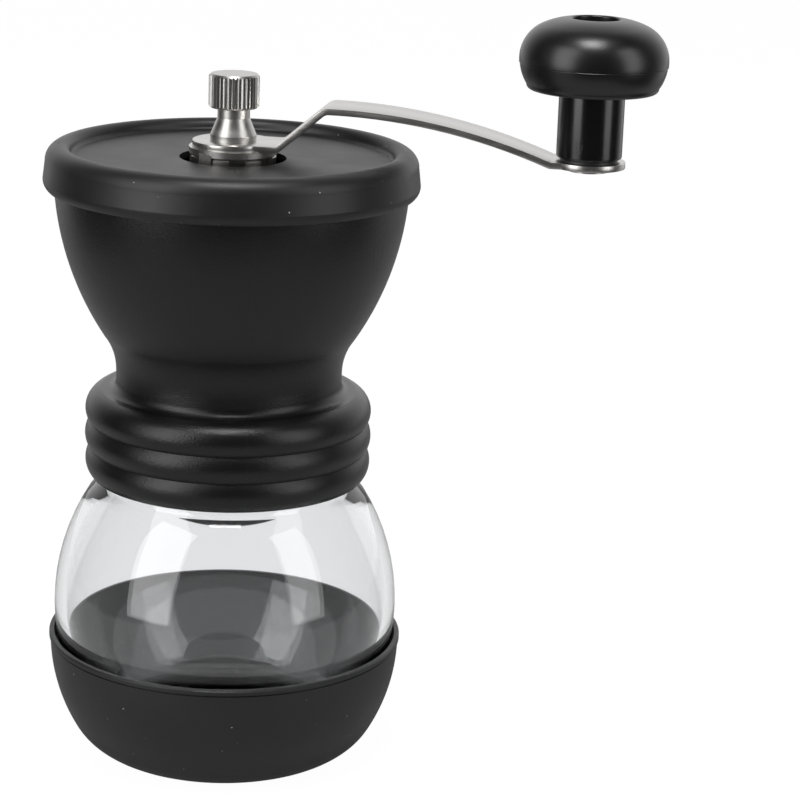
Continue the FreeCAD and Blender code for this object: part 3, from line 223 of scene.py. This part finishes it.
def turned_stainless(name, colour, across):
    """Bar steel turned on a lathe: fine rings about its axis, which draw highlights out round it."""
    material, tree, output, place = start_material(name)
    centred = add(tree, "ShaderNodeMapping", {"vector_type": "POINT", "Location": (-across, 0, 0)},
                  {"Vector": place}).outputs["Vector"]
    # Tool marks are drawn 0.25 mm apart, two or three times their real pitch, so that they show
    rings = add(tree, "ShaderNodeTexWave", {"wave_type": "RINGS", "rings_direction": "Z", "Scale": per_mm(0.25) / 20,
                                            "Distortion": 0.6, "Detail": 2.0}, {"Vector": centred})
    level = add(tree, "ShaderNodeMapping", {"Scale": (0, 0, per_mm(0.22))}, {"Vector": centred})
    lines = noise(tree, level.outputs["Vector"], 1.0, Detail=3.0)
    ring_share = 0.5
    marks = math_of(tree, "MULTIPLY_ADD", rings.outputs["Fac"], ring_share, lines)
    most = 1 + ring_share
    # Painted shade: ambient occlusion darkens the colour at the bottoms of the flutes and in the inner corners
    groove_occlusion = add(tree, "ShaderNodeAmbientOcclusion", {"Distance": 0.5 * MM, "samples": 8})
    painted_groove_shade = spread(tree, groove_occlusion.outputs["AO"], low=0.45, high=1.0, start=0.25, stop=0.6)
    tone = spread(tree, marks, low=0.72, high=1.1, stop=most)
    # The colour is the tool marks' tone times the painted shade of the grooves
    cover(tree, output, {"Metallic": 1.0}, tinted(tree, colour, math_of(tree, "MULTIPLY", tone, painted_groove_shade)),
          spread(tree, marks, low=0.24, high=0.44, stop=most), relief(tree, marks, strength=0.12, depth=0.04))
    return material


def fired_ceramic(colour):
    """Pressed and fired alumina: chalky white with a slight speckle, a little smoother where it was ground."""
    material, tree, output, place = start_material("alumina_ceramic_fired")
    speckle = noise(tree, place, per_mm(0.8), Detail=5.0, Roughness=0.7)
    cover(tree, output, {"IOR": 1.65}, tinted(tree, colour, spread(tree, speckle, low=0.88, high=1.06)),
          spread(tree, speckle, low=0.4, high=0.65), relief(tree, speckle, strength=0.1, depth=0.05))
    return material


def wear(piece, *materials):
    """Put a piece in these materials."""
    piece.data.materials.clear()
    for material in materials:
        piece.data.materials.append(material)


def finish_piece(bm, name, body, nodes=(), sharp=35):
    """Close a mesh, turn its faces outwards, shade it smooth up to an angle, and fix it to its body."""
    bmesh.ops.remove_doubles(bm, verts=bm.verts, dist=MERGE)
    bmesh.ops.recalc_face_normals(bm, faces=bm.faces)
    for face in bm.faces:
        face.smooth = True
    for edge in bm.edges:
        edge.smooth = edge.is_manifold and edge.calc_face_angle(0.0) < math.radians(sharp)
    mesh = bpy.data.meshes.new(name)
    bm.to_mesh(mesh)
    bm.free()
    piece = bpy.data.objects.new(name, mesh)
    bpy.context.scene.collection.objects.link(piece)
    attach(piece, body)
    if nodes:
        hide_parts(*nodes)
    return piece


def half_section(bm, path, across, foot):
    """Draw half a section in millimetres as a chain of edges. A step is (radius, height), reached straight, or
    (radius, height, arc's radius, turn), reached by spinning the last point about the arc's centre."""
    def spot(step):
        return Vector((across + step[0] * MM, 0, foot + step[1] * MM))

    first = last = bm.verts.new(spot(path[0]))
    for step in path[1:]:
        end = spot(step)
        if len(step) == 2:
            grown = bmesh.ops.extrude_vert_indiv(bm, verts=[last])["verts"]
            bmesh.ops.translate(bm, verts=grown, vec=end - last.co)
            last = grown[0]
        else:
            radius, turn = step[2] * MM, step[3]
            chord = end - last.co
            side = Vector((-chord.z, 0, chord.x)).normalized() * turn
            centre = last.co + chord / 2 + side * math.sqrt(max(radius ** 2 - chord.length_squared / 4, 0))
            angle = 2 * math.asin(min(chord.length / 2 / radius, 1))
            spun = bmesh.ops.spin(bm, geom=[last], cent=centre, axis=(0, -1, 0), angle=turn * angle,
                                  steps=max(4, round(math.degrees(angle) / 4)))
            last = next(item for item in spun["geom_last"] if isinstance(item, bmesh.types.BMVert))
    if path[0][0] > 0:
        bm.edges.new((last, first))


def turned_piece(name, path, body, nodes, across=0.0, foot=0.0, steps=144):
    """Spin half a section right round its axis."""
    bm = bmesh.new()
    half_section(bm, path, across, foot)
    bmesh.ops.spin(bm, geom=bm.verts[:] + bm.edges[:], cent=(across, 0, 0), axis=(0, 0, 1), angle=math.tau,
                   steps=steps, use_merge=True)
    return finish_piece(bm, name, body, nodes)


class GrinderColours(bpy.types.PropertyGroup):
    """Colours of the grinder's finishes."""
    soft_black: bpy.props.FloatVectorProperty(
        name="Soft black", description="Silicone of the lid and the cup", subtype="COLOR", default=linear("#111112"))
    dust: bpy.props.FloatVectorProperty(
        name="Dust", description="Specks on the silicone", subtype="COLOR", default=linear("#b4b4b0"))
    hopper_black: bpy.props.FloatVectorProperty(
        name="Hopper black", description="Polypropylene of the hopper", subtype="COLOR", default=linear("#0d0d0e"))
    knob_black: bpy.props.FloatVectorProperty(
        name="Knob black", description="ABS of the knob", subtype="COLOR", default=linear("#0b0b0c"))
    inner_black: bpy.props.FloatVectorProperty(
        name="Inner black", description="Plastic of the bridge, carrier and retainer", subtype="COLOR",
        default=linear("#222224"))
    glass: bpy.props.FloatVectorProperty(
        name="Glass", description="Tint of the jar", subtype="COLOR", default=linear("#f5f6f7"))
    steel: bpy.props.FloatVectorProperty(
        name="Steel", description="Crank, nuts and washers", subtype="COLOR", default=linear("#cbc9c6"))
    ceramic: bpy.props.FloatVectorProperty(
        name="Ceramic", description="Both burrs", subtype="COLOR", default=linear("#ebe8df"))


class GrinderSizes(bpy.types.PropertyGroup):
    """Sizes of the grinder's fine detail."""
    dust_spacing: bpy.props.FloatProperty(
        name="Dust spacing", description="Between specks on the silicone, in millimetres", default=2.2, min=0.5)
    grain: bpy.props.FloatProperty(
        name="Grain", description="Width of the hopper's grain, in millimetres", default=0.38, min=0.1)
    seam_step: bpy.props.FloatProperty(
        name="Seam step", description="Dome's lower half inside its upper half, in millimetres", default=0.15, min=0.0)
    thread_height: bpy.props.FloatProperty(
        name="Thread height", description="Ridge on the jar's neck, in millimetres", default=0.55, min=0.1, max=0.7)
    thread_pitch: bpy.props.FloatProperty(
        name="Thread pitch", description="Rise of that ridge in one turn, in millimetres", default=5.0, min=2.0)
    edge_round: bpy.props.FloatProperty(
        name="Edge round", description="Rounding of the crank strip's edges", unit="LENGTH", default=0.12 * MM,
        min=0.01 * MM)


class GRINDER_OT_jar(bpy.types.Operator):
    """Spin the thick glass jar and wind the ridge round its neck"""
    bl_idname = "grinder.jar"
    bl_label = "Glass jar"

    def execute(self, context):
        colours, sizes = context.scene.grinder_colours, context.scene.grinder_sizes
        glass = pressed_glass(colours.glass)
        jar = turned_piece("jar_glass", [
            (0, 0), (24.2, 0), (35.649, 5.544, 13, LEFT), (45, 37, 57.585, LEFT), (36.3, 67, 56.074, LEFT),
            (33.6, 69.6), (NECK_RADIUS, 72, 3.38, RIGHT), (NECK_RADIUS, 87), (31.6, 88, 1, LEFT), (30.2, 88),
            (29.4, 87.2, 0.8, LEFT), (29.4, 72), (33.765, 65.395), (42, 37, 53.074, RIGHT),
            (32.372, 8.838, 46.003, RIGHT), (25, 5, 9, RIGHT), (0, 5),
        ], "jar", ["glass_jar"], foot=JAR_FOOT, steps=192)
        wear(jar, glass)
        bm = bmesh.new()
        rise = sizes.thread_pitch * MM
        foot = JAR_FOOT + 77 * MM
        root, crest, root_half, crest_half = 0.005, sizes.thread_height, 0.9, 0.25
        corners = [bm.verts.new(((NECK_RADIUS + out) * MM, 0, foot + up * MM)) for out, up in
                   ((root, -root_half), (crest, -crest_half), (crest, crest_half), (root, root_half))]
        ends = bm.faces.new(corners)
        turns, steps = 1.5, 108
        bmesh.ops.spin(bm, geom=[ends], cent=(0, 0, 0), axis=(0, 0, 1), dvec=(0, 0, rise * turns / steps),
                       angle=math.tau * turns, steps=steps)
        thread = finish_piece(bm, "jar_thread", "jar")
        wear(thread, glass)
        return {"FINISHED"}


class GRINDER_OT_soft(bpy.types.Operator):
    """Dress the lid and the cup in silicone"""
    bl_idname = "grinder.soft"
    bl_label = "Soft lid and cup"

    def execute(self, context):
        colours, sizes = context.scene.grinder_colours, context.scene.grinder_sizes
        silicone = moulded_silicone(colours.soft_black, colours.dust, sizes.dust_spacing)
        for node in ("base_cup", "hopper_lid"):
            wear(frame["nodes"][node], silicone)
        return {"FINISHED"}


class GRINDER_OT_hopper(bpy.types.Operator):
    """Dress the hopper and the plastic inside it"""
    bl_idname = "grinder.hopper"
    bl_label = "Hopper"

    def execute(self, context):
        colours, sizes = context.scene.grinder_colours, context.scene.grinder_sizes
        wear(frame["nodes"]["hopper_body"], grained_polypropylene(colours.hopper_black, sizes.grain))
        plain = moulded_abs("polypropylene_plain", colours.inner_black, 0.38, 0.52)
        for node in ("shaft_bridge", "burr_retainer", "burr_carrier", "knob_washer"):
            wear(frame["nodes"][node], plain)
        wear(frame["nodes"]["bridge_bush"], moulded_abs("acetal_white_turned", linear("#e6e4dc"), 0.3, 0.45))
        return {"FINISHED"}


class GRINDER_OT_burrs(bpy.types.Operator):
    """Dress both burrs in ceramic"""
    bl_idname = "grinder.burrs"
    bl_label = "Burrs"

    def execute(self, context):
        ceramic = fired_ceramic(context.scene.grinder_colours.ceramic)
        for node in ("outer_burr", "inner_burr"):
            wear(frame["nodes"][node], ceramic)
        return {"FINISHED"}


class GRINDER_OT_steel(bpy.types.Operator):
    """Dress the shaft, nuts, washers and screws, and ease the edges of the crank's strip"""
    bl_idname = "grinder.steel"
    bl_label = "Steel"

    def execute(self, context):
        colours, sizes = context.scene.grinder_colours, context.scene.grinder_sizes
        nodes = frame["nodes"]
        brushed = brushed_stainless(colours.steel)
        sheared = sheared_stainless(colours.steel)
        turned = turned_stainless("stainless_steel_turned", colours.steel, 0.0)
        post = turned_stainless("stainless_steel_turned_post", colours.steel, KNOB_X)
        for node in ("drive_shaft", "burr_spring", "burr_nut", "adjust_nut", "thumb_nut"):
            wear(nodes[node], turned)
        for node in ("spring_washer_upper", "spring_washer_lower", "burr_washer", "lock_ring"):
            wear(nodes[node], brushed)
        for node in ("knob_axle", "knob_screw_washer", "knob_screw"):
            wear(nodes[node], post)
        bm = bmesh.new()
        bm.from_mesh(nodes["crank_arm"].data)
        bmesh.ops.remove_doubles(bm, verts=bm.verts, dist=MERGE)
        bmesh.ops.dissolve_limit(bm, angle_limit=math.radians(0.4), verts=bm.verts, edges=bm.edges)
        for face in bm.faces:
            face.material_index = 1 if self.on_edge(face) else 0
        corner = math.radians(60)
        rims = [edge for edge in bm.edges if edge.is_manifold and edge.calc_face_angle(0.0) > corner]
        bmesh.ops.bevel(bm, geom=rims, offset=sizes.edge_round, offset_type="OFFSET", affect="EDGES", segments=2,
                        profile=0.5, material=-1, clamp_overlap=True)
        arm = finish_piece(bm, "crank_strip", "crank", ["crank_arm"])
        wear(arm, brushed, sheared)
        return {"FINISHED"}

    def on_edge(self, face):
        """True on the strip's sides, and on the upright edge round the eye, the disc and the holes."""
        side_lean, upright_lean = 0.35, 0.3
        return abs(face.normal.y) >= side_lean or abs(face.normal.z) < upright_lean


class GRINDER_OT_knob(bpy.types.Operator):
    """Spin the knob's dome and sleeve, with the marks that their moulds left"""
    bl_idname = "grinder.knob"
    bl_label = "Knob"

    def execute(self, context):
        colours, sizes = context.scene.grinder_colours, context.scene.grinder_sizes
        satin = moulded_abs("abs_satin_moulded", colours.knob_black, 0.28, 0.37)
        gloss = moulded_abs("abs_gloss_moulded", colours.knob_black, 0.16, 0.26)
        dome = turned_piece("knob_dome_moulded", [
            (6.3, 0), (15.25, 0), (16.45, 1.2, 1.2, LEFT), (18.447 - sizes.seam_step, 6.4, 11.33, LEFT),
            (18.49, 6.5), (18.49, 6.62), (18.38, 6.74), (18.463, 6.8), (18.5, 7.7, 11.33, LEFT),
            (13.333, 15.969, 9.2, LEFT), (6.35, 17.8, 18.41, LEFT), (5.85, 17.3, 0.5, LEFT), (5.85, 11.5),
            (POST_BORE, 11.5), (POST_BORE, 5.1), (6.3, 5.1),
        ], "knob", ["knob_dome"], KNOB_X, DOME_FOOT)
        wear(dome, satin)
        high = (DOME_FOOT - STEM_FOOT) / MM
        stem = turned_piece("knob_sleeve_moulded", [
            (POST_BORE, 0), (7.4, 0), (STEM_RADIUS, 0.8, 0.8, LEFT), (STEM_RADIUS, high), (6.2, high),
            (6.2, high + 5), (POST_BORE, high + 5),
        ], "knob", ["knob_stem"], KNOB_X, STEM_FOOT)
        wear(stem, gloss)
        bm = bmesh.new()
        thick, wide, long = 0.12 * MM, 0.24 * MM, (high - 2) * MM
        for turn in (-97, 83):
            ridge = bmesh.ops.create_cube(bm, size=1, matrix=Matrix.Diagonal((thick, wide, long, 1)))["verts"]
            self.set_on_stem(bm, ridge, STEM_RADIUS, high / 2 + 0.4, turn)
        lines = finish_piece(bm, "knob_parting_lines", "knob")
        wear(lines, gloss)
        bm = bmesh.new()
        rod, ring, sunk = 0.11 * MM, 0.95 * MM, 0.07
        section = bmesh.ops.create_circle(bm, segments=10, radius=rod)["verts"]
        bmesh.ops.translate(bm, verts=section, vec=(0, ring, 0))
        bmesh.ops.spin(bm, geom=bm.verts[:] + bm.edges[:], cent=(0, 0, 0), axis=(1, 0, 0), angle=math.tau,
                       steps=32, use_merge=True)
        bmesh.ops.scale(bm, verts=bm.verts, vec=(1, 0.8, 1.5))
        self.set_on_stem(bm, bm.verts[:], STEM_RADIUS - sunk, 3.6, -105)
        mark = finish_piece(bm, "knob_ejector_mark", "knob")
        wear(mark, gloss)
        return {"FINISHED"}

    def set_on_stem(self, bm, verts, out, up, turn):
        """Move a mark from the origin to the stem's wall: millimetres out and up, then degrees round it."""
        bmesh.ops.translate(bm, verts=verts, vec=(out * MM, 0, STEM_FOOT + up * MM))
        bmesh.ops.rotate(bm, verts=verts, cent=(0, 0, 0), matrix=Matrix.Rotation(math.radians(turn), 3, "Z"))
        bmesh.ops.translate(bm, verts=verts, vec=(KNOB_X, 0, 0))


class GRINDER_OT_stage(bpy.types.Operator):
    """Set the pale floor, the soft lamps and the camera"""
    bl_idname = "grinder.stage"
    bl_label = "Stage"

    def execute(self, context):
        self.lay_floor(context.scene)
        self.light_room(context.scene)
        self.place_camera(context.scene)
        context.scene.view_settings.view_transform = "Standard"
        return {"FINISHED"}

    def lay_floor(self, scene):
        """Lay a sheet of white paper that widens towards the back."""
        near_width, length, middle, widening, drop = 0.5, 2.8, 1.1, 4, 0.0002
        bm = bmesh.new()
        bmesh.ops.create_grid(bm, x_segments=1, y_segments=1, size=0.5)
        bmesh.ops.scale(bm, verts=bm.verts, vec=(near_width, length, 1))
        bmesh.ops.translate(bm, verts=bm.verts, vec=(0, middle, -drop))
        far = [vert for vert in bm.verts if vert.co.y > middle]
        bmesh.ops.scale(bm, verts=far, vec=(widening, 1, 1))
        mesh = bpy.data.meshes.new("floor")
        bm.to_mesh(mesh)
        bm.free()
        floor = bpy.data.objects.new("floor", mesh)
        scene.collection.objects.link(floor)
        material, tree, output, _ = start_material("paper_white_matt")
        rays = add(tree, "ShaderNodeLightPath", {}).outputs
        mirrored_share, white_share, white_level = 0.1, 0.93, 1.045
        mirrored = math_of(tree, "MULTIPLY", rays["Is Glossy Ray"], mirrored_share)
        seen = math_of(tree, "MAXIMUM", rays["Is Camera Ray"], mirrored)
        seen = math_of(tree, "MAXIMUM", seen, rays["Is Transmission Ray"])
        # Black plastic mirrors the dim table in front of the part, so shiny rays find the paper darker
        tint = add(tree, "ShaderNodeMix", {"data_type": "RGBA", 6: (*linear("#f2f2f2"), 1),
                                           7: (*linear("#a0a0a0"), 1)}, {0: rays["Is Glossy Ray"]})
        paper = add(tree, "ShaderNodeBsdfPrincipled", {"Roughness": 0.9, "Specular IOR Level": 0.1},
                    {"Base Color": tint.outputs[2]})
        white = add(tree, "ShaderNodeEmission", {"Color": (1, 1, 1, 1), "Strength": white_level})
        mixed = add(tree, "ShaderNodeMixShader", {}, {0: math_of(tree, "MULTIPLY", seen, white_share),
                                                      1: paper.outputs[0], 2: white.outputs[0]})
        tree.links.new(mixed.outputs[0], output.inputs["Surface"])
        wear(floor, material)

    def light_room(self, scene):
        """Make the room white to the camera and dimmer to the part, and hang three soft boxes in it."""
        world = scene.world or bpy.data.worlds.new("studio")
        scene.world = world
        world.use_nodes = True
        tree = world.node_tree
        tree.nodes.clear()
        rays = add(tree, "ShaderNodeLightPath", {}).outputs
        seen = math_of(tree, "MAXIMUM", rays["Is Camera Ray"], rays["Is Transmission Ray"])
        way = add(tree, "ShaderNodeSeparateXYZ", {},
                  {"Vector": add(tree, "ShaderNodeTexCoord", {}).outputs["Generated"]})
        # The room behind the camera is darker than the white backdrop, which gives the steel its contrast
        depth = spread(tree, way.outputs["Y"], low=0.04, high=1.0, start=0.3, stop=0.85)
        mirrored = math_of(tree, "MULTIPLY", rays["Is Glossy Ray"], depth)
        soft_level = 0.3
        soft = math_of(tree, "MULTIPLY", rays["Is Diffuse Ray"], soft_level)
        level = math_of(tree, "MAXIMUM", math_of(tree, "MAXIMUM", seen, mirrored), soft)
        sky = add(tree, "ShaderNodeBackground", {"Color": (1, 1, 1, 1)}, {"Strength": level})
        add(tree, "ShaderNodeOutputWorld", {}, {"Surface": sky.outputs[0]})
        middle = Vector((0, 0, 0.1))
        for name, spot, width, height, power in (
                ("left_box", (-0.56, -0.65, 0.45), 0.55, 1.1, 5.5),
                ("right_box", (0.9, -0.38, 0.45), 0.45, 1.1, 3.4),
                ("top_box", (0.05, -0.32, 1.1), 0.35, 0.35, 5.5)):
            lamp = bpy.data.lights.new(name, "AREA")
            lamp.shape, lamp.size, lamp.size_y, lamp.energy = "RECTANGLE", width, height, power
            holder = bpy.data.objects.new(name, lamp)
            scene.collection.objects.link(holder)
            holder.location = spot
            holder.rotation_euler = (middle - Vector(spot)).to_track_quat("-Z", "Y").to_euler()

    def place_camera(self, scene):
        """Stand the camera where the photograph was taken from."""
        camera = bpy.data.objects.new("camera", bpy.data.cameras.new("camera"))
        scene.collection.objects.link(camera)
        distance, height = 0.65218, 0.27674
        around, heading, pitch, roll = (math.radians(angle) for angle in (10.727, 6.814, 15.496, 2.034))
        level = math.cos(pitch)
        ahead = Vector((-math.sin(heading) * level, math.cos(heading) * level, -math.sin(pitch)))
        across = Vector((math.cos(heading), math.sin(heading), 0))
        up = across.cross(ahead)
        side = across * math.cos(roll) + up * math.sin(roll)
        head = -across * math.sin(roll) + up * math.cos(roll)
        turn = Matrix((side, head, -ahead)).transposed().to_4x4()
        spot = (distance * math.sin(around), -distance * math.cos(around), height)
        camera.matrix_world = Matrix.Translation(spot) @ turn
        camera.data.lens = 116.87
        camera.data.sensor_width = 36
        camera.data.clip_end = 20
        scene.camera = camera


class GRINDER_PT_panel(bpy.types.Panel):
    """Lists the grinder's settings and pieces"""
    bl_label = "Coffee grinder"
    bl_idname = "GRINDER_PT_panel"
    bl_space_type = "VIEW_3D"
    bl_region_type = "UI"
    bl_category = "Grinder"

    def draw(self, context):
        for group in (context.scene.grinder_colours, context.scene.grinder_sizes):
            for key in group.__annotations__:
                self.layout.prop(group, key)
        for operator in OPERATORS:
            self.layout.operator(operator.bl_idname)


OPERATORS = (GRINDER_OT_jar, GRINDER_OT_soft, GRINDER_OT_hopper, GRINDER_OT_burrs, GRINDER_OT_steel,
             GRINDER_OT_knob, GRINDER_OT_stage)
CLASSES = (GrinderColours, GrinderSizes, *OPERATORS, GRINDER_PT_panel)


def register():
    for cls in CLASSES:
        bpy.utils.register_class(cls)
    bpy.types.Scene.grinder_colours = bpy.props.PointerProperty(type=GrinderColours)
    bpy.types.Scene.grinder_sizes = bpy.props.PointerProperty(type=GrinderSizes)


def unregister():
    del bpy.types.Scene.grinder_sizes
    del bpy.types.Scene.grinder_colours
    for cls in reversed(CLASSES):
        bpy.utils.unregister_class(cls)


def main():
    register()
    for operator in OPERATORS:
        group, name = operator.bl_idname.split(".")
        getattr(getattr(bpy.ops, group), name)()


if __name__ == "__main__":
    main()
